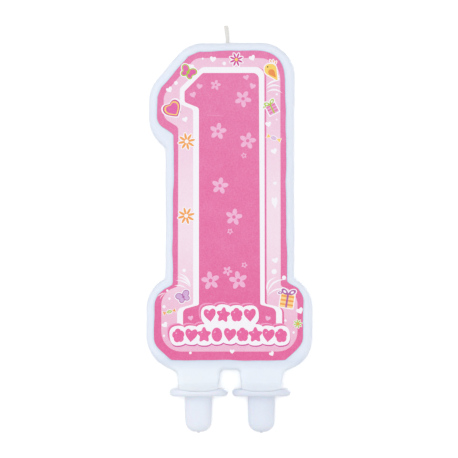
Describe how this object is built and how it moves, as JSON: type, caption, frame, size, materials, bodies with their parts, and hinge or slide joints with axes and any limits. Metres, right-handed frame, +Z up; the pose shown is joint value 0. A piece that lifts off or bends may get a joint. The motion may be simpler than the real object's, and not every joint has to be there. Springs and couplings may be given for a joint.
{
  "type": "number birthday candle",
  "caption": "Upright numeral one candle in cast wax with a printed front film, a wick and push-on plastic pegs that stand it in a cake.",
  "frame": {"origin": "midway between the two pegs, in the plane of the flanges' undersides, where the cake's surface is", "axes": "+Z up towards the wick, -Y out of the printed face, +X to the right when the printed face is seen from the front"},
  "size_m": [0.0554, 0.014, 0.136],
  "materials": {
    "wax_body": "satin, slightly translucent white wax",
    "printed_label": "satin printed film, pinks on white",
    "wick": "waxed off-white cotton braid",
    "left_holder": "semi-gloss moulded white",
    "right_holder": "semi-gloss moulded white"
  },
  "bodies": {
    "candle": {"wax_body": "wax_body", "printed_label": "printed_label", "wick": "wick"},
    "left_holder": {"left_holder": "left_holder"},
    "right_holder": {"right_holder": "right_holder"}
  },
  "joints": [
    {"name": "left_holder_pull", "type": "slide", "parent": "candle", "child": "left_holder", "axis": [0, 0, -1], "range_m": [0, 0.016]},
    {"name": "right_holder_pull", "type": "slide", "parent": "candle", "child": "right_holder", "axis": [0, 0, -1], "range_m": [0, 0.016]}
  ]
}
